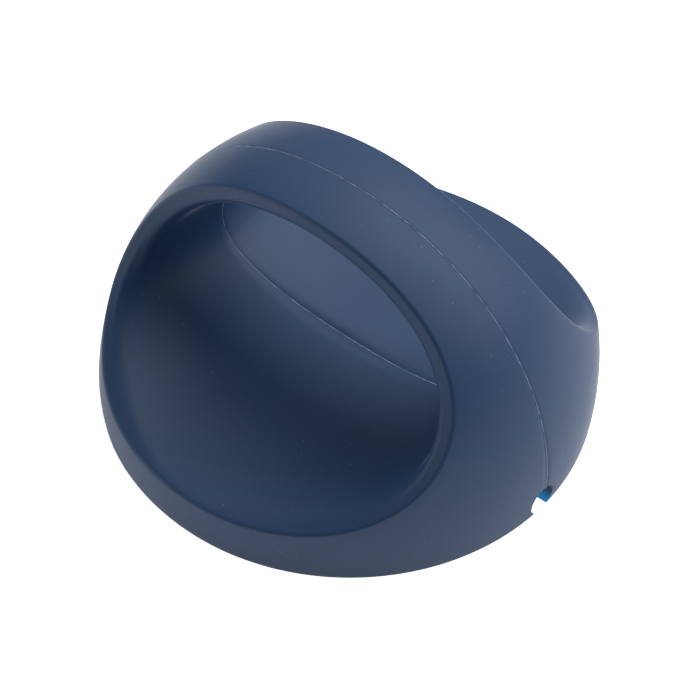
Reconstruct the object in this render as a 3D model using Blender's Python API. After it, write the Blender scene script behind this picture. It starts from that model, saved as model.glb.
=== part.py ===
# Bench rest for a pipette filler: a ball of soft silicone with a flat base, scooped out at the
# front and the rear so that an arched strap stands over a wide tunnel.
# Two mirror-image mouldings are bonded along the middle plane, and a round channel for a
# charger lead runs under the base along that plane.
# X runs along the strap's span, Y through the tunnel, Z up from the face it stands on.

import math

import bmesh
import bpy

# ---- driving dimensions, in metres and degrees ----

# outer skin: a ball with a slightly squared profile, cut flat at z = 0
BALL_HALF_WIDTH = 0.04542        # its radius where it is widest
BALL_HALF_HEIGHT = 0.0455        # from the widest level up to the top
BALL_CENTRE_HEIGHT = 0.00705     # the widest level above the base
BALL_SQUARENESS = 2.11           # 2 is a true ellipse

# front and rear scoops: round hollows whose axes run along X
STRAP_WIDTH = 0.0214             # what they leave between them at the top
SCOOP_RADIUS = 0.0414
RIM_HEIGHT = 0.00945             # their lowest line above the base

# tunnel: a low arch that opens towards both mouths
SIDE_WALL = 0.0115               # at the middle plane, measured at the tunnel's widest level
CROWN_WALL = 0.0054              # at the middle plane, above the tunnel
FLOOR_WALL = 0.0129              # at the middle plane, below the tunnel
TUNNEL_WIDEST_HEIGHT = 0.0252
CEILING_POWER = 1.87             # a little more pointed than an ellipse
FLOOR_POWER = 2.41               # a little flatter than an ellipse
SIDE_DRAFT = 8.9
CEILING_DRAFT = 5.7
FLOOR_DRAFT = 3.4

# rounded edges
LIP_RADIUS = 0.0022              # between the tunnel and a scoop
CREASE_RADIUS = 0.0009           # between a scoop and the outer skin

# lead channel under the base
LEAD_DIAMETER = 0.0050
LEAD_CLEARANCE = 0.00045         # all round the lead
CHANNEL_LIP = 0.0027             # height of the lips that hold the lead, up to the bore's centre
CHANNEL_SLIT = 0.0034            # a little narrower than the lead, which snaps past the lips
CHANNEL_OFFSET = -0.0006         # the channel lies a little in front of the joint

# bond between the two mouldings
BOND_THICKNESS = 0.0003
BOND_PROUD = 0.0001              # how far the squeezed-out edge stands off the skin

# facets
SECTIONS = 72
TUNNEL_STEPS = 5
LIP_STEPS = 3
SCOOP_STEPS = 4
CREASE_STEPS = 3
SKIN_STEPS = 8

# ---- sizes that follow ----

CHANNEL_RADIUS = LEAD_DIAMETER / 2 + LEAD_CLEARANCE
BALL_TOP = BALL_CENTRE_HEIGHT + BALL_HALF_HEIGHT
SCOOP_AXIS_HEIGHT = RIM_HEIGHT + SCOOP_RADIUS
SCOOP_AXIS_OFFSET = STRAP_WIDTH / 2 + SCOOP_RADIUS
BOND_FACE = BOND_THICKNESS / 2


def find_root(rule, low, high):
    """Halve the span between low, where the rule is negative, and high, where it is positive."""
    for _ in range(48):
        middle = (low + high) / 2
        if rule(middle) < 0:
            low = middle
        else:
            high = middle
    return (low + high) / 2


# ---- surfaces, in the plane of one section ----
# A section is a half-plane through the tunnel's axis. Its points are (reach, depth): the reach
# is measured from the axis at the section's angle, the depth along Y from the middle plane.

def height_at(angle, reach):
    return TUNNEL_WIDEST_HEIGHT + reach * math.sin(angle)


def ball_excess(angle, reach, depth):
    """Negative inside the ball's skin, zero on it and positive outside."""
    across = math.hypot(reach * math.cos(angle), depth) / BALL_HALF_WIDTH
    along = abs(height_at(angle, reach) - BALL_CENTRE_HEIGHT) / BALL_HALF_HEIGHT
    return across ** BALL_SQUARENESS + along ** BALL_SQUARENESS - 1


def skin_reach(angle, depth):
    """Reach of the outer skin at one depth."""
    return find_root(lambda reach: ball_excess(angle, reach, depth), 0, 3 * BALL_TOP)


def skin_point(angle, lean):
    """Point of the outer skin seen from the tunnel's centre, leaning from the middle plane."""
    def rule(distance):
        return ball_excess(angle, distance * math.cos(lean), distance * math.sin(lean))
    distance = find_root(rule, 0, 3 * BALL_TOP)
    return distance * math.cos(lean), distance * math.sin(lean)


TUNNEL_HALF_WIDTH = skin_reach(0, 0) - SIDE_WALL
TUNNEL_RISE = BALL_TOP - CROWN_WALL - TUNNEL_WIDEST_HEIGHT
TUNNEL_DROP = TUNNEL_WIDEST_HEIGHT - FLOOR_WALL


def tunnel_reach(angle, depth):
    """Reach of the tunnel's wall at one depth: half an oval above, a flatter half below."""
    half_width = TUNNEL_HALF_WIDTH + depth * math.tan(math.radians(SIDE_DRAFT))
    if math.sin(angle) >= 0:
        half_height = TUNNEL_RISE + depth * math.tan(math.radians(CEILING_DRAFT))
        power = CEILING_POWER
    else:
        half_height = TUNNEL_DROP + depth * math.tan(math.radians(FLOOR_DRAFT))
        power = FLOOR_POWER
    across = abs(math.cos(angle)) / half_width
    along = abs(math.sin(angle)) / half_height
    return (across ** power + along ** power) ** (-1 / power)


def scoop_depth(height):
    """Depth of a scoop's surface at one height."""
    offset = height - SCOOP_AXIS_HEIGHT
    return SCOOP_AXIS_OFFSET - math.sqrt(max(SCOOP_RADIUS ** 2 - offset ** 2, 0))


# ---- one section's outline ----

def distance_between(first, second):
    return math.hypot(first[0] - second[0], first[1] - second[1])


def trim(curve, corner_at, far_at, corner, length):
    """Parameter on a curve whose point lies one length from the corner."""
    length = min(length, 0.45 * distance_between(curve(far_at), corner))
    return find_root(lambda at: distance_between(curve(at), corner) - length, corner_at, far_at)


def round_corner(before, corner, after, steps):
    """Points of the arc that touches both sides of a corner, ends left out."""
    half_turn = math.pi / 2 - opening_angle(before, corner, after) / 2
    weight = math.cos(half_turn)
    points = []
    for step in range(1, steps):
        share = step / steps
        ends = ((1 - share) ** 2, share ** 2)
        middle = 2 * share * (1 - share) * weight
        total = ends[0] + middle + ends[1]
        points.append(tuple((ends[0] * before[axis] + middle * corner[axis]
                             + ends[1] * after[axis]) / total for axis in range(2)))
    return points


def opening_angle(before, corner, after):
    """Angle between the two sides that meet at a corner."""
    first = math.atan2(before[1] - corner[1], before[0] - corner[0])
    second = math.atan2(after[1] - corner[1], after[0] - corner[0])
    return abs((first - second + math.pi) % (2 * math.pi) - math.pi)


def rounded(before_curve, before_far, before_at, after_curve, after_at, after_far, radius, steps):
    """Round the corner where one curve ends and the next begins."""
    corner = before_curve(before_at)
    nudge = 0.02
    near_before = before_curve(before_at + nudge * (before_far - before_at))
    near_after = after_curve(after_at + nudge * (after_far - after_at))
    length = radius / math.tan(opening_angle(near_before, corner, near_after) / 2)
    ends_at = trim(before_curve, before_at, before_far, corner, length)
    starts_at = trim(after_curve, after_at, after_far, corner, length)
    arc = round_corner(before_curve(ends_at), corner, after_curve(starts_at), steps)
    return ends_at, arc, starts_at


def stretch(curve, start, end, steps):
    """Points of a curve from start to end, both ends kept."""
    return [curve(start + (end - start) * step / steps) for step in range(steps + 1)]


def section_outline(angle):
    """Points from the middle plane through the tunnel, round the scoop and back on the skin."""
    def tunnel(depth):
        return tunnel_reach(angle, depth), depth

    def scoop(reach):
        return reach, scoop_depth(height_at(angle, reach))

    def skin(lean):
        return skin_point(angle, lean)

    lip_depth = find_root(lambda depth: depth - scoop(tunnel(depth)[0])[1],
                          BOND_FACE, SCOOP_AXIS_OFFSET)
    lip_reach = tunnel(lip_depth)[0]
    crease_reach = find_root(lambda reach: ball_excess(angle, *scoop(reach)),
                             lip_reach, skin_reach(angle, 0))
    crease = scoop(crease_reach)
    crease_lean = math.atan2(crease[1], crease[0])
    seam_reach = skin_reach(angle, BOND_FACE)
    seam_lean = math.atan2(BOND_FACE, seam_reach)

    tunnel_end, lip_arc, scoop_start = rounded(
        tunnel, BOND_FACE, lip_depth, scoop, lip_reach, crease_reach, LIP_RADIUS, LIP_STEPS)
    scoop_end, crease_arc, skin_start = rounded(
        scoop, lip_reach, crease_reach, skin, crease_lean, seam_lean, CREASE_RADIUS, CREASE_STEPS)

    outline = stretch(tunnel, BOND_FACE, tunnel_end, TUNNEL_STEPS)
    outline += lip_arc
    outline += stretch(scoop, scoop_start, scoop_end, SCOOP_STEPS)
    outline += crease_arc
    outline += stretch(skin, skin_start, seam_lean, SKIN_STEPS)
    return outline


# ---- mesh helpers ----

def remove_everything():
    for thing in list(bpy.data.objects):
        bpy.data.objects.remove(thing, do_unlink=True)


def bridge_ring(bm, loops):
    """Skin a ring of equal closed loops, each joined to the next and the last to the first."""
    edge_loops = []
    for points in loops:
        verts = [bm.verts.new(point) for point in points]
        edges = [bm.edges.new((verts[i - 1], verts[i])) for i in range(len(verts))]
        edge_loops.append(edges)
    for i in range(len(edge_loops)):
        bmesh.ops.bridge_loops(bm, edges=edge_loops[i - 1] + edge_loops[i])


def cut_below(bm, height):
    """Take away what lies below a level and close the cut with a flat face."""
    geometry = bm.verts[:] + bm.edges[:] + bm.faces[:]
    bmesh.ops.bisect_plane(bm, geom=geometry, dist=1e-7, plane_co=(0, 0, height),
                           plane_no=(0, 0, 1), clear_inner=True)
    bmesh.ops.remove_doubles(bm, verts=bm.verts[:], dist=1e-6)
    rim = [edge for edge in bm.edges if edge.is_boundary]
    bmesh.ops.contextual_create(bm, geom=rim)


def finish_mesh(bm, name):
    """Turn the faces outwards, write the mesh and make its object."""
    bmesh.ops.recalc_face_normals(bm, faces=bm.faces[:])
    mesh = bpy.data.meshes.new(name)
    bm.to_mesh(mesh)
    bm.free()
    thing = bpy.data.objects.new(name, mesh)
    bpy.context.scene.collection.objects.link(thing)
    mesh.shade_smooth()
    mesh.set_sharp_from_angle(angle=math.radians(32))
    return thing


def make_material(name, colour, roughness):
    """Plain finish: colour, roughness, no metal."""
    material = bpy.data.materials.new(name)
    material.use_nodes = True
    shader = material.node_tree.nodes["Principled BSDF"]
    shader.inputs["Base Color"].default_value = (*colour, 1)
    shader.inputs["Roughness"].default_value = roughness
    shader.inputs["Metallic"].default_value = 0
    return material


# ---- sub-parts ----

def make_channel_cutter():
    """Bore for the lead, open downwards through a narrower slit, along the whole base."""
    bm = bmesh.new()
    reach = 2 * BALL_HALF_WIDTH
    slit_half = CHANNEL_SLIT / 2
    lip_angle = math.asin(slit_half / CHANNEL_RADIUS)
    outline = [(-slit_half, -CHANNEL_LIP)]
    steps = 20
    for step in range(steps + 1):
        angle = lip_angle + (2 * math.pi - 2 * lip_angle) * step / steps
        outline.append((-CHANNEL_RADIUS * math.sin(angle),
                        CHANNEL_LIP - CHANNEL_RADIUS * math.cos(angle)))
    outline.append((slit_half, -CHANNEL_LIP))
    verts = [bm.verts.new((-reach, across + CHANNEL_OFFSET, up)) for across, up in outline]
    face = bm.faces.new(verts)
    grown = bmesh.ops.extrude_face_region(bm, geom=[face])
    moved = [item for item in grown["geom"] if isinstance(item, bmesh.types.BMVert)]
    bmesh.ops.translate(bm, verts=moved, vec=(2 * reach, 0, 0))
    cutter = finish_mesh(bm, "channel_cutter")
    cutter.hide_render = True
    cutter.display_type = "WIRE"
    return cutter


def make_half(name, side, cutter, material):
    """One moulding: the sections of its side of the middle plane, skinned and cut flat."""
    loops = []
    for section in range(SECTIONS):
        angle = 2 * math.pi * (section + 0.5) / SECTIONS
        loops.append([(reach * math.cos(angle), side * depth, height_at(angle, reach))
                      for reach, depth in section_outline(angle)])
    bm = bmesh.new()
    bridge_ring(bm, loops)
    cut_below(bm, 0)
    half = finish_mesh(bm, name)
    half.data.materials.append(material)
    channel = half.modifiers.new("lead_channel", "BOOLEAN")
    channel.operation = "DIFFERENCE"
    channel.solver = "EXACT"
    channel.object = cutter
    return half


def make_bond(material):
    """Thin layer between the mouldings, standing a hair proud of the skin and the tunnel."""
    loops = []
    for section in range(SECTIONS):
        angle = 2 * math.pi * (section + 0.5) / SECTIONS
        inner = tunnel_reach(angle, 0) - BOND_PROUD
        outer = skin_reach(angle, 0) + BOND_PROUD
        corners = ((inner, -BOND_FACE), (inner, BOND_FACE), (outer, BOND_FACE), (outer, -BOND_FACE))
        loops.append([(reach * math.cos(angle), depth, height_at(angle, reach))
                      for reach, depth in corners])
    bm = bmesh.new()
    bridge_ring(bm, loops)
    cut_below(bm, CHANNEL_LIP + CHANNEL_RADIUS)
    bond = finish_mesh(bm, "bond_layer")
    bond.data.materials.append(material)
    return bond


def build():
    remove_everything()
    silicone = make_material("slate_blue_silicone", (0.045, 0.075, 0.135), 0.62)
    adhesive = make_material("pale_silicone_adhesive", (0.36, 0.44, 0.52), 0.55)
    rest = bpy.data.objects.new("bench_rest", None)
    bpy.context.scene.collection.objects.link(rest)
    cutter = make_channel_cutter()
    pieces = [make_half("front_half", -1, cutter, silicone),
              make_half("rear_half", 1, cutter, silicone),
              make_bond(adhesive)]
    for piece in pieces + [cutter]:
        piece.parent = rest


build()
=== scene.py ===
import math

import bmesh
import bpy
from mathutils import Matrix, Vector, noise


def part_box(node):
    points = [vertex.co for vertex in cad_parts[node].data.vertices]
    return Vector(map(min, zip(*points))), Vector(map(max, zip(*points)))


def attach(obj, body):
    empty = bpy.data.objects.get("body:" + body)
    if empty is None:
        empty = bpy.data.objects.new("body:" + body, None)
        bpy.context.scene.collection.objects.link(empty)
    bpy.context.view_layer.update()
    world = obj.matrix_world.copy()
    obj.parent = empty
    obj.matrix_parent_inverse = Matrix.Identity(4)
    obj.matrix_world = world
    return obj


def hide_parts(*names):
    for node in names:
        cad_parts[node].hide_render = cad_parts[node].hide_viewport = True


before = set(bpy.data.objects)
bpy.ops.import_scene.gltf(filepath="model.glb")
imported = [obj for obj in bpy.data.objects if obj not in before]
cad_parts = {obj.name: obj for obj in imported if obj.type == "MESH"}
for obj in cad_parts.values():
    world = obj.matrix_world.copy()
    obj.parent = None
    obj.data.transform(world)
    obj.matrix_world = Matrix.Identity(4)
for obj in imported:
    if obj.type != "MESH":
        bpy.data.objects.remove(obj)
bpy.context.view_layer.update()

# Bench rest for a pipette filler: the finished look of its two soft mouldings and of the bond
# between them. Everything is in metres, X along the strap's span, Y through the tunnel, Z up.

mouldLow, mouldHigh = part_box("rear_half")
bondLow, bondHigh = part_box("bond_layer")
print("frame loaded")


# the camera looks down on the strap from the front right
cameraSettings = {
    "azimuth": 40.11,
    "elevation": 47.88,
    "distance": 0.4969,
    "lens": 137.47,
    "sensor": 36,
    "aimUp": 0.00659,           # how far the view's middle is above the base's centre
    "clipStart": 0.01,
}


# azimuth is measured from the front towards +X, elevation from the table up
def directionTo(azimuth, elevation):
    azimuth, elevation = math.radians(azimuth), math.radians(elevation)
    return Vector((math.sin(azimuth) * math.cos(elevation),
                   -math.cos(azimuth) * math.cos(elevation),
                   math.sin(elevation)))


def makeCamera(settings):
    back = directionTo(settings["azimuth"], settings["elevation"])
    azimuth = math.radians(settings["azimuth"])
    right = Vector((math.cos(azimuth), math.sin(azimuth), 0))
    up = back.cross(right)
    camera = bpy.data.objects.new("camera", bpy.data.cameras.new("camera"))
    camera.matrix_world = Matrix((right, up, back)).transposed().to_4x4()
    camera.location = up * settings["aimUp"] + back * settings["distance"]
    camera.data.lens = settings["lens"]
    camera.data.sensor_width = settings["sensor"]
    camera.data.clip_start = settings["clipStart"]
    bpy.context.scene.collection.objects.link(camera)
    bpy.context.scene.camera = camera


makeCamera(cameraSettings)
print("camera placed")


def linearColour(hexCode):
    channels = [int(hexCode[i:i + 2], 16) / 255 for i in (1, 3, 5)]
    return [c / 12.92 if c <= 0.04045 else ((c + 0.055) / 1.055) ** 2.4 for c in channels] + [1]


def addNode(tree, kind, settings=None, values=None, links=None):
    node = tree.nodes.new(kind)
    for name, value in (settings or {}).items():
        setattr(node, name, value)
    for name, value in (values or {}).items():
        node.inputs[name].default_value = value
    for name, source in (links or {}).items():
        tree.links.new(source, node.inputs[name])
    return node


def startMaterial(name, values):
    material = bpy.data.materials.new(name)
    material.use_nodes = True
    tree = material.node_tree
    shader = tree.nodes["Principled BSDF"]
    for socket, value in values.items():
        shader.inputs[socket].default_value = value
    place = addNode(tree, "ShaderNodeTexCoord")
    return material, tree, shader, place.outputs["Object"]


# silicone rubber, moulded against a spark-eroded steel tool: an even matt skin with a fine grain
# that scatters a soft grey bloom where it is seen at a slant, and picks up specks of dust
siliconeSettings = {
    "colour": "#2f4c74",
    "cloudColour": "#335078",
    "dustColour": "#6c7ea1",
    "roughness": (0.43, 0.49),
    "grain": 0.00022,           # the tool's pits, drawn about twice their real width so they show
    "grainDepth": 0.000012,
    "cloud": 0.011,             # slow clouds where the skin was handled
    "speckSpacing": 0.0021,
    "speckRadius": 0.00017,
    "speckCore": 0.4,           # share of a speck's radius that is at full strength
    "crowdSize": 0.0176,        # dust gathers in patches of about this size
    "crowdRange": (0.5, 0.6),
    "bloom": 1.0,
    "bloomSpread": 0.16,        # narrow: it shows only at the very edge
    "bloomColour": "#e6ecff",
}


def makeSilicone(settings):
    material, tree, shader, place = startMaterial("mouldedSilicone", {
        "IOR": 1.41,
        "Sheen Weight": settings["bloom"],
        "Sheen Roughness": settings["bloomSpread"],
        "Sheen Tint": linearColour(settings["bloomColour"]),
    })
    cloud = addNode(tree, "ShaderNodeTexNoise", values={
        "Scale": 1 / settings["cloud"], "Detail": 3.0, "Roughness": 0.55}, links={"Vector": place})
    tint = addNode(tree, "ShaderNodeMix", {"data_type": "RGBA"}, {
        6: linearColour(settings["colour"]), 7: linearColour(settings["cloudColour"])},
        {0: cloud.outputs["Fac"]})
    specks = addNode(tree, "ShaderNodeTexVoronoi", values={
        "Scale": 1 / settings["speckSpacing"]}, links={"Vector": place})
    near = addNode(tree, "ShaderNodeMapRange", values={
        "From Min": settings["speckRadius"] / settings["speckSpacing"],
        "From Max": settings["speckCore"] * settings["speckRadius"] / settings["speckSpacing"]},
        links={"Value": specks.outputs["Distance"]})
    crowd = addNode(tree, "ShaderNodeTexNoise", values={
        "Scale": 1 / settings["crowdSize"], "Detail": 1.0}, links={"Vector": place})
    kept = addNode(tree, "ShaderNodeMapRange", values={
        "From Min": settings["crowdRange"][0], "From Max": settings["crowdRange"][1]},
        links={"Value": crowd.outputs["Fac"]})
    dust = addNode(tree, "ShaderNodeMath", {"operation": "MULTIPLY"}, links={
        0: near.outputs["Result"], 1: kept.outputs["Result"]})
    dusted = addNode(tree, "ShaderNodeMix", {"data_type": "RGBA"}, {
        7: linearColour(settings["dustColour"])},
        {0: dust.outputs["Value"], 6: tint.outputs[2]})
    grain = addNode(tree, "ShaderNodeTexNoise", values={
        "Scale": 1 / settings["grain"], "Detail": 2.0, "Roughness": 0.6}, links={"Vector": place})
    roughness = addNode(tree, "ShaderNodeMapRange", values={
        "To Min": settings["roughness"][0], "To Max": settings["roughness"][1]},
        links={"Value": cloud.outputs["Fac"]})
    bump = addNode(tree, "ShaderNodeBump", values={
        "Strength": 1.0, "Distance": settings["grainDepth"]},
        links={"Height": grain.outputs["Fac"]})
    tree.links.new(dusted.outputs[2], shader.inputs["Base Color"])
    tree.links.new(roughness.outputs["Result"], shader.inputs["Roughness"])
    tree.links.new(bump.outputs["Normal"], shader.inputs["Normal"])
    return material


# the same rubber against the polished core pin of the channel: smooth and a deeper, cleaner blue.
# Light from the table through its thin lips is painted in: a painted glow and lighter colour at the
# lips, fading to painted shade towards the crown
channelSettings = {
    # painted shade at the crown and painted light at the lips; the blue between them changes only
    # by height
    "crownPaintedShadeColour": "#24365c",
    "lipPaintedLightColour": "#2f86bd",
    "crownLevel": 0.0026,
    "lipLevel": 0.0002,
    "roughness": 0.3,
    # strength of the painted glow that the lips give off, standing in for light from the table
    "paintedGlow": 0.6,
    "streak": 0.0016,           # faint drawing marks, five times as long as they are wide
    "streakStretch": 0.2,
    "streakDepth": 0.00001,
}


def makeChannelFinishAndPaintedLight(settings):
    material, tree, shader, place = startMaterial("polishedSiliconeWithPaintedLight", {
        "IOR": 1.41,
        "Roughness": settings["roughness"],
        "Emission Strength": settings["paintedGlow"],
    })
    # painted light and shade by height: bright blue at the lips, darker towards the crown
    height = addNode(tree, "ShaderNodeSeparateXYZ", links={0: place})
    paintedShadeShare = addNode(tree, "ShaderNodeMapRange", {"interpolation_type": "SMOOTHSTEP"}, {
        "From Min": settings["lipLevel"], "From Max": settings["crownLevel"]},
        {"Value": height.outputs["Z"]})
    tint = addNode(tree, "ShaderNodeMix", {"data_type": "RGBA"}, {
        6: linearColour(settings["lipPaintedLightColour"]), 7: linearColour(settings["crownPaintedShadeColour"])},
        {0: paintedShadeShare.outputs["Result"]})
    # a painted glow, brightest at the lips and none at the crown
    glow = addNode(tree, "ShaderNodeMix", {"data_type": "RGBA"}, {
        6: linearColour(settings["lipPaintedLightColour"]), 7: (0, 0, 0, 1)}, {0: paintedShadeShare.outputs["Result"]})
    drawn = addNode(tree, "ShaderNodeMapping", values={
        "Scale": (settings["streakStretch"], 1.0, 1.0)}, links={"Vector": place})
    streak = addNode(tree, "ShaderNodeTexNoise", values={
        "Scale": 1 / settings["streak"], "Detail": 2.0}, links={"Vector": drawn.outputs["Vector"]})
    bump = addNode(tree, "ShaderNodeBump", values={"Distance": settings["streakDepth"]},
                   links={"Height": streak.outputs["Fac"]})
    tree.links.new(tint.outputs[2], shader.inputs["Base Color"])
    tree.links.new(glow.outputs[2], shader.inputs["Emission Color"])
    tree.links.new(bump.outputs["Normal"], shader.inputs["Normal"])
    return material


# silicone adhesive, squeezed out along the joint and left to cure: a pale, slightly glossy bead
# that comes and goes
adhesiveSettings = {
    "paleColour": "#c9d7ee",
    "thinColour": "#8096ba",
    "roughness": 0.42,
    "patch": 0.0016,            # length of the paler stretches
    "patchRange": (0.38, 0.6),
}


def makeAdhesive(settings):
    material, tree, shader, place = startMaterial("curedAdhesive", {
        "IOR": 1.41,
        "Roughness": settings["roughness"],
    })
    patch = addNode(tree, "ShaderNodeTexNoise", values={
        "Scale": 1 / settings["patch"], "Detail": 2.0}, links={"Vector": place})
    share = addNode(tree, "ShaderNodeMapRange", values={
        "From Min": settings["patchRange"][0], "From Max": settings["patchRange"][1]},
        links={"Value": patch.outputs["Fac"]})
    tint = addNode(tree, "ShaderNodeMix", {"data_type": "RGBA"}, {
        6: linearColour(settings["thinColour"]), 7: linearColour(settings["paleColour"])},
        {0: share.outputs["Result"]})
    tree.links.new(tint.outputs[2], shader.inputs["Base Color"])
    return material


silicone = makeSilicone(siliconeSettings)
# the channel's material holds its polished finish together with painted light, painted shade and a
# painted glow
channelFinishAndPaintedLight = makeChannelFinishAndPaintedLight(channelSettings)
adhesive = makeAdhesive(adhesiveSettings)
print("materials made")


# a ball with a flat base, scooped out front and rear, with a low arched tunnel through it
ball = {
    "halfWidth": mouldHigh.y,
    "top": mouldHigh.z,
    "widestLevel": 0.00705,
    "squareness": 2.11,         # 2 would be a true ellipse
}
scoop = {
    "strapWidth": 0.0214,
    "radius": 0.0414,
    "rimHeight": 0.00945,
}
tunnel = {
    "widestLevel": 0.0252,
    "sideWall": 0.0115,
    "crownWall": 0.0054,
    "floorWall": 0.0129,
    "ceilingPower": 1.87,
    "floorPower": 2.41,
    "sideDraft": 8.9,
    "ceilingDraft": 5.7,
    "floorDraft": 3.4,
}
edges = {
    "lipTop": 0.0010,           # rounding between the tunnel and a scoop, under the strap
    "lipBottom": 0.0080,        # and at the floor, where it fades out
    "crease": 0.0009,           # rounding between a scoop and the outer skin
    "seamFace": 0.00006,        # each moulding's flat face from the middle plane
    "seamCorner": 0.00003,
    "base": 0.0004,
    "mouth": 0.00035,           # rounding round the channel's two mouths
    "channelLip": 0.00025,
    "largestShare": 0.45,       # a rounding never takes more of a side than this
    "baseZone": 0.8,            # share of the half width outside which the base is rounded
    "sharp": 48,                # degrees over which an edge is drawn hard
}
channel = {
    "radius": 0.00295,
    "level": 0.0027,
    "slit": 0.0034,
    "offset": -0.0006,          # the channel lies a little in front of the joint
}
# the soft rubber stands out a little at its front left foot, and less at its rear right shoulder
frontBulge = {
    "size": 0.0009,
    "direction": 228,           # degrees from X
    "spread": 24,
    "fullLevel": 0.003,
    "noneLevel": 0.019,
    "innerRadius": 0.022,
    "outerRadius": 0.036,
}
rearBulge = {
    "size": 0.0005,
    "direction": 48,
    "spread": 18,
    "fullLevel": 0.016,
    "noneLevel": 0.030,
    "innerRadius": 0.022,
    "outerRadius": 0.036,
}
fineness = {
    "sections": 288,
    "tunnel": 16,
    "lip": 8,
    "scoop": 12,
    "crease": 8,
    "skin": 26,
    "base": 5,
    "bore": 40,
    "channelLip": 5,
    "mouth": 5,
    "halvings": 40,
}
farReach = 3 * ball["top"]      # past the skin in every direction
cutTolerance = 1e-7             # a point this near a cutting plane counts as on it
mergeDistance = 1e-6


def findRoot(rule, low, high):
    for _ in range(fineness["halvings"]):
        middle = (low + high) / 2
        if rule(middle) < 0:
            low = middle
        else:
            high = middle
    return (low + high) / 2


# a section is a half-plane through the tunnel's axis: its points are (reach, depth), the reach
# from the axis at the section's angle and the depth along Y from the middle plane

def levelAt(angle, reach):
    return tunnel["widestLevel"] + reach * math.sin(angle)


def ballExcess(angle, reach, depth):
    across = math.hypot(reach * math.cos(angle), depth) / ball["halfWidth"]
    along = abs(levelAt(angle, reach) - ball["widestLevel"]) / (ball["top"] - ball["widestLevel"])
    return across ** ball["squareness"] + along ** ball["squareness"] - 1


def skinReach(angle, depth):
    return findRoot(lambda reach: ballExcess(angle, reach, depth), 0, farReach)


def skinPoint(angle, lean):
    distance = findRoot(lambda d: ballExcess(angle, d * math.cos(lean), d * math.sin(lean)),
                        0, farReach)
    return distance * math.cos(lean), distance * math.sin(lean)


tunnelHalfWidth = skinReach(0, 0) - tunnel["sideWall"]
tunnelRise = ball["top"] - tunnel["crownWall"] - tunnel["widestLevel"]
tunnelDrop = tunnel["widestLevel"] - tunnel["floorWall"]
scoopLevel = scoop["rimHeight"] + scoop["radius"]
scoopOffset = scoop["strapWidth"] / 2 + scoop["radius"]


def tunnelReach(angle, depth):
    halfWidth = tunnelHalfWidth + depth * math.tan(math.radians(tunnel["sideDraft"]))
    if math.sin(angle) >= 0:
        halfHeight = tunnelRise + depth * math.tan(math.radians(tunnel["ceilingDraft"]))
        power = tunnel["ceilingPower"]
    else:
        halfHeight = tunnelDrop + depth * math.tan(math.radians(tunnel["floorDraft"]))
        power = tunnel["floorPower"]
    across = abs(math.cos(angle)) / halfWidth
    along = abs(math.sin(angle)) / halfHeight
    return (across ** power + along ** power) ** (-1 / power)


def scoopDepth(level):
    offset = level - scoopLevel
    return scoopOffset - math.sqrt(max(scoop["radius"] ** 2 - offset ** 2, 0))


def gap(first, second):
    return math.hypot(first[0] - second[0], first[1] - second[1])


def openingAngle(before, corner, after):
    first = math.atan2(before[1] - corner[1], before[0] - corner[0])
    second = math.atan2(after[1] - corner[1], after[0] - corner[0])
    return abs((first - second + math.pi) % (2 * math.pi) - math.pi)


def trimPlace(curve, cornerPlace, farPlace, corner, length):
    length = min(length, edges["largestShare"] * gap(curve(farPlace), corner))
    return findRoot(lambda place: gap(curve(place), corner) - length, cornerPlace, farPlace)


# an arc of a conic from one side of a corner to the other
def cornerArc(before, corner, after, steps):
    weight = math.sin(openingAngle(before, corner, after) / 2)
    points = []
    for step in range(1, steps):
        share = step / steps
        first, last = (1 - share) ** 2, share ** 2
        middle = 2 * share * (1 - share) * weight
        points.append([(first * a + middle * b + last * c) / (first + middle + last)
                       for a, b, c in zip(before, corner, after)])
    return points


def roundCorner(before, beforeFar, beforePlace, after, afterPlace, afterFar, radius, steps):
    corner = before(beforePlace)
    nudge = 0.02
    nearBefore = before(beforePlace + nudge * (beforeFar - beforePlace))
    nearAfter = after(afterPlace + nudge * (afterFar - afterPlace))
    length = radius / math.tan(openingAngle(nearBefore, corner, nearAfter) / 2)
    end = trimPlace(before, beforePlace, beforeFar, corner, length)
    start = trimPlace(after, afterPlace, afterFar, corner, length)
    return end, cornerArc(before(end), corner, after(start), steps), start


def stretch(curve, start, end, steps):
    return [curve(start + (end - start) * step / steps) for step in range(steps + 1)]


def sectionOutline(angle):
    def tunnelWall(depth):
        return tunnelReach(angle, depth), depth

    def scoopWall(reach):
        return reach, scoopDepth(levelAt(angle, reach))

    def skin(lean):
        return skinPoint(angle, lean)

    face, corner = edges["seamFace"], edges["seamCorner"]
    lipDepth = findRoot(lambda depth: depth - scoopWall(tunnelWall(depth)[0])[1], face, scoopOffset)
    lipReach = tunnelWall(lipDepth)[0]
    creaseReach = findRoot(lambda reach: ballExcess(angle, *scoopWall(reach)),
                           lipReach, skinReach(angle, 0))
    creaseLean = math.atan2(*reversed(scoopWall(creaseReach)))
    seamReach = skinReach(angle, face + corner)
    seamLean = math.atan2(face + corner, seamReach)
    topShare = (1 + math.sin(angle)) / 2
    lipRadius = edges["lipBottom"] + (edges["lipTop"] - edges["lipBottom"]) * topShare
    tunnelEnd, lipArc, scoopStart = roundCorner(
        tunnelWall, face, lipDepth, scoopWall, lipReach, creaseReach, lipRadius, fineness["lip"])
    scoopEnd, creaseArc, skinStart = roundCorner(
        scoopWall, lipReach, creaseReach, skin, creaseLean, seamLean, edges["crease"],
        fineness["crease"])
    outline = [(tunnelReach(angle, 0) + corner, face)]
    outline += stretch(tunnelWall, face + corner, tunnelEnd, fineness["tunnel"])
    outline += lipArc
    outline += stretch(scoopWall, scoopStart, scoopEnd, fineness["scoop"])
    outline += creaseArc
    outline += stretch(skin, skinStart, seamLean, fineness["skin"])
    outline.append((seamReach - corner, face))
    return outline


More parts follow.
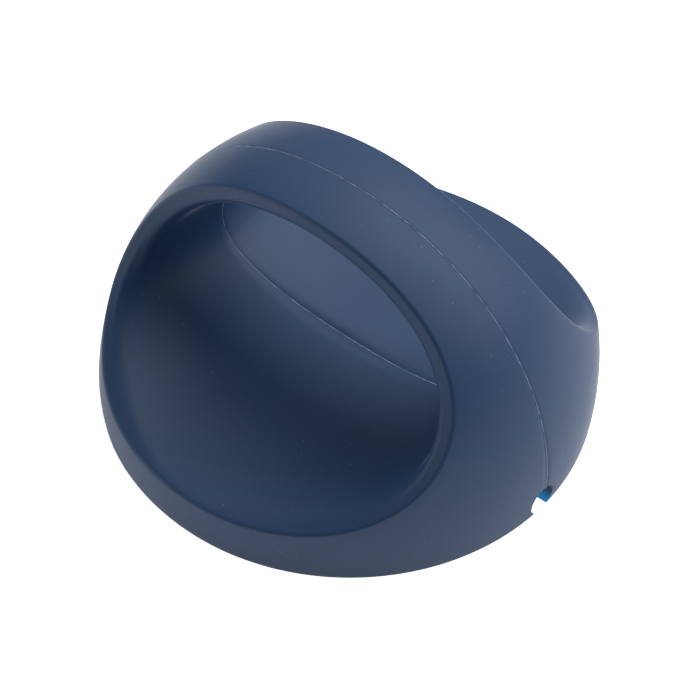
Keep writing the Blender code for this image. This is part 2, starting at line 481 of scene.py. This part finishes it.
def bridgeRing(bm, loops):
    rings = []
    for points in loops:
        verts = [bm.verts.new(point) for point in points]
        rings.append([bm.edges.new((verts[i - 1], verts[i])) for i in range(len(verts))])
    for i in range(len(rings)):
        bmesh.ops.bridge_loops(bm, edges=rings[i - 1] + rings[i])


def cutBelow(bm, level):
    bmesh.ops.bisect_plane(bm, geom=bm.verts[:] + bm.edges[:] + bm.faces[:], dist=cutTolerance,
                           plane_co=(0, 0, level), plane_no=(0, 0, 1), clear_inner=True)
    bmesh.ops.remove_doubles(bm, verts=bm.verts[:], dist=mergeDistance)
    bmesh.ops.contextual_create(bm, geom=[edge for edge in bm.edges if edge.is_boundary])


def makeObject(bm, name, materials):
    bmesh.ops.recalc_face_normals(bm, faces=bm.faces[:])
    mesh = bpy.data.meshes.new(name)
    bm.to_mesh(mesh)
    bm.free()
    for material in materials:
        mesh.materials.append(material)
    mesh.shade_smooth()
    mesh.set_sharp_from_angle(angle=math.radians(edges["sharp"]))
    piece = bpy.data.objects.new(name, mesh)
    bpy.context.scene.collection.objects.link(piece)
    return piece


# small steps are cut round the foot of the wall and drawn in to make its rounding
def roundBase(bm):
    radius = edges["base"]
    for step in range(1, fineness["base"] + 1):
        level = radius * (1 - math.cos(math.pi / 2 * step / fineness["base"]))
        bmesh.ops.bisect_plane(bm, geom=bm.verts[:] + bm.edges[:] + bm.faces[:], dist=cutTolerance,
                               plane_co=(0, 0, level), plane_no=(0, 0, 1))
    for vert in bm.verts:
        vert.co.z = max(vert.co.z, 0)
        across = math.hypot(vert.co.x, vert.co.y)
        if vert.co.z < radius and across > edges["baseZone"] * ball["halfWidth"]:
            inward = radius - math.sqrt(radius ** 2 - (radius - vert.co.z) ** 2)
            vert.co.xy *= 1 - inward / across


def channelOutline(grow):
    half = channel["slit"] / 2 + grow
    radius = channel["radius"] + grow
    fillet = edges["channelLip"]
    side = [(half + fillet, -channel["level"])]
    for step in range(fineness["channelLip"] + 1):
        angle = math.pi / 2 * step / fineness["channelLip"]
        side.append((half + fillet - fillet * math.sin(angle), fillet - fillet * math.cos(angle)))
    start = math.asin(half / radius)
    boreSteps = fineness["bore"] // 2
    for step in range(boreSteps):
        angle = start + (math.pi - start) * step / boreSteps
        side.append((radius * math.sin(angle), channel["level"] - radius * math.cos(angle)))
    crown = [(0, channel["level"] + radius)]
    outline = side + crown + [(-y, z) for y, z in reversed(side)]
    return [(y + channel["offset"], z) for y, z in outline]


def makeChannelCutter():
    rounding = edges["mouth"]
    level = (channel["level"] - ball["widestLevel"]) / (ball["top"] - ball["widestLevel"])
    mouth = ball["halfWidth"] * (1 - abs(level) ** ball["squareness"]) ** (1 / ball["squareness"])
    rings = [(2 * ball["halfWidth"], rounding)]
    for step in range(fineness["mouth"] + 1):
        angle = math.pi / 2 * (1 - step / fineness["mouth"])
        rings.append((mouth - rounding * (1 - math.sin(angle)), rounding * (1 - math.cos(angle))))
    rings += [(-reach, grow) for reach, grow in reversed(rings)]
    bm = bmesh.new()
    loops = []
    for reach, grow in rings:
        verts = [bm.verts.new((reach, y, z)) for y, z in channelOutline(grow)]
        loops.append([bm.edges.new((verts[i - 1], verts[i])) for i in range(len(verts))])
    for i in range(1, len(loops)):
        bmesh.ops.bridge_loops(bm, edges=loops[i - 1] + loops[i])
    bmesh.ops.contextual_create(bm, geom=loops[0])
    bmesh.ops.contextual_create(bm, geom=loops[-1])
    cutter = makeObject(bm, "channelCutter", [silicone, channelFinishAndPaintedLight])
    for polygon in cutter.data.polygons:
        polygon.material_index = 1
    return cutter


def cutChannel(bm, cutter):
    blank = makeObject(bm, "blank", [silicone, channelFinishAndPaintedLight])
    cut = blank.modifiers.new("leadChannel", "BOOLEAN")
    cut.operation = "DIFFERENCE"
    cut.solver = "EXACT"
    cut.object = cutter
    bpy.context.view_layer.update()
    bm = bmesh.new()
    bm.from_object(blank, bpy.context.evaluated_depsgraph_get())
    bpy.data.objects.remove(blank, do_unlink=True)
    return bm


def smoothStep(value, low, high):
    share = min(max((value - low) / (high - low), 0), 1)
    return share * share * (3 - 2 * share)


def addBulge(bm, bulge):
    direction = math.radians(bulge["direction"])
    for vert in bm.verts:
        across = math.hypot(vert.co.x, vert.co.y)
        turn = math.atan2(vert.co.y, vert.co.x) - direction
        turn = math.degrees((turn + math.pi) % (2 * math.pi) - math.pi)
        push = (bulge["size"] * math.exp(-(turn / bulge["spread"]) ** 2)
                * smoothStep(across, bulge["innerRadius"], bulge["outerRadius"])
                * (1 - smoothStep(vert.co.z, bulge["fullLevel"], bulge["noneLevel"])))
        if push > 0:
            vert.co.xy *= 1 + push / across


def makeMoulding(name, side, cutter):
    loops = []
    for section in range(fineness["sections"]):
        angle = 2 * math.pi * (section + 0.5) / fineness["sections"]
        loops.append([(reach * math.cos(angle), side * depth, levelAt(angle, reach))
                      for reach, depth in sectionOutline(angle)])
    bm = bmesh.new()
    bridgeRing(bm, loops)
    cutBelow(bm, 0)
    roundBase(bm)
    addBulge(bm, frontBulge if side < 0 else rearBulge)
    bm = cutChannel(bm, cutter)
    return makeObject(bm, name, [silicone, channelFinishAndPaintedLight])


cutter = makeChannelCutter()
frontMoulding = makeMoulding("frontMoulding", -1, cutter)
rearMoulding = makeMoulding("rearMoulding", 1, cutter)
bpy.data.objects.remove(cutter, do_unlink=True)
print("mouldings made", len(frontMoulding.data.polygons), len(rearMoulding.data.polygons))


# the bond between the mouldings: a fine bead, proud of the skin and of the tunnel
bond = {
    "sections": 1200,
    "width": 0.00015,
    "proud": 0.00006,
    "wander": 0.0011,           # length over which the bead's size changes
    "swell": 0.7,               # how much it changes, against its mean
    "steadyWidth": 0.7,         # share of the width that doesn't change with it
    "dots": 0.9,                # along the strap it also breaks up into short dots
    "dotsPerWander": 3,
    "dotsPlace": 7,             # where in the noise the dots are taken from
    "dotsRange": (0.2, 0.8),    # sine of the angle from which they show, and are full
}


def makeBond():
    loops = []
    for section in range(bond["sections"]):
        angle = 2 * math.pi * (section + 0.5) / bond["sections"]
        inner, outer = tunnelReach(angle, 0), skinReach(angle, 0)
        along = outer * angle / bond["wander"]
        dots = noise.noise((bond["dotsPerWander"] * along, bond["dotsPlace"], 0))
        dots *= smoothStep(math.sin(angle), *bond["dotsRange"])
        swell = 1 + bond["swell"] * noise.noise((along, 0, 0)) + bond["dots"] * dots
        steady = bond["steadyWidth"]
        half = bond["width"] / 2 * (steady + (1 - steady) * swell)
        proud = bond["proud"] * swell
        outline = [(inner + proud, half), (inner - proud, half / 2), (inner - proud, -half / 2),
                   (inner + proud, -half), (outer - proud, -half), (outer + proud, -half / 2),
                   (outer + proud, half / 2), (outer - proud, half)]
        loops.append([(reach * math.cos(angle), depth, levelAt(angle, reach))
                      for reach, depth in outline])
    bm = bmesh.new()
    bridgeRing(bm, loops)
    cutBelow(bm, bondLow.z)
    return makeObject(bm, "bondLine", [adhesive])


bondLine = makeBond()
print("bond made", len(bondLine.data.polygons))

for piece, node, slot in ((frontMoulding, "front_half", "silicone"),
                          (rearMoulding, "rear_half", "silicone"),
                          (bondLine, "bond_layer", "adhesive")):
    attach(piece, "root")
    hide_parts(node)
print("pieces on their body")


# the studio: a white table and soft lamps
studio = {
    "floorSize": 6,
    "floorColour": "#f4f5f6",
    "floorGlow": 1.0,           # a white table, lit evenly enough to show no shadow
    "glossGlow": 0.6,           # what the skin mirrors of it at a slant
    "bounceGlow": 0.05,         # what little of it lights the object softly
    "bounceDrop": 0.0002,
    "ambient": 0.0,
}
lampDistance = 1.2
lampSize = 0.9
lamps = [
    # name, azimuth, elevation, power
    ("right", 135, 38, 6.5),
    ("overhead", 180, 62, 6.5),
    ("left", 315, 12, 3.4),
    ("upperLeft", 315, 38, 0.6),
    ("backLeft", 225, 38, 2.0),
]


def makeFloor(name, glow, drop):
    bm = bmesh.new()
    bmesh.ops.create_grid(bm, x_segments=1, y_segments=1, size=studio["floorSize"] / 2)
    bmesh.ops.translate(bm, verts=bm.verts[:], vec=(0, 0, -drop))
    material = startMaterial(name + "Paper", {
        "Base Color": linearColour(studio["floorColour"]),
        "Roughness": 0.9,
        "Emission Color": (1, 1, 1, 1),
        "Emission Strength": glow,
    })[0]
    floor = makeObject(bm, name, [material])
    return floor


# the table is three planes a hair apart: one to see, one for the skin to mirror, and one that
# lights the object from below
def makeStudio():
    floor = makeFloor("floor", studio["floorGlow"], 0)
    floor.visible_diffuse = False
    floor.visible_glossy = False
    floor.visible_shadow = False
    gloss = makeFloor("glossFloor", studio["glossGlow"], studio["bounceDrop"])
    gloss.visible_camera = False
    gloss.visible_diffuse = False
    gloss.visible_shadow = False
    bounce = makeFloor("bounceFloor", studio["bounceGlow"], 2 * studio["bounceDrop"])
    bounce.visible_camera = False
    bounce.visible_glossy = False
    world = bpy.data.worlds.new("studio")
    world.use_nodes = True
    sky = world.node_tree.nodes["Background"]
    sky.inputs["Color"].default_value = (1, 1, 1, 1)
    sky.inputs["Strength"].default_value = studio["ambient"]
    bpy.context.scene.world = world
    bpy.context.scene.view_settings.view_transform = "Standard"


def makeLamp(name, azimuth, elevation, power):
    back = directionTo(azimuth, elevation)
    lamp = bpy.data.objects.new(name, bpy.data.lights.new(name, "AREA"))
    lamp.data.shape = "SQUARE"
    lamp.data.size = lampSize
    lamp.data.energy = power
    lamp.location = back * lampDistance
    lamp.rotation_mode = "QUATERNION"
    lamp.rotation_quaternion = (-back).to_track_quat("-Z", "Y")
    lamp.visible_camera = False
    bpy.context.scene.collection.objects.link(lamp)


makeStudio()
for lamp in lamps:
    makeLamp(*lamp)
print("studio lit")
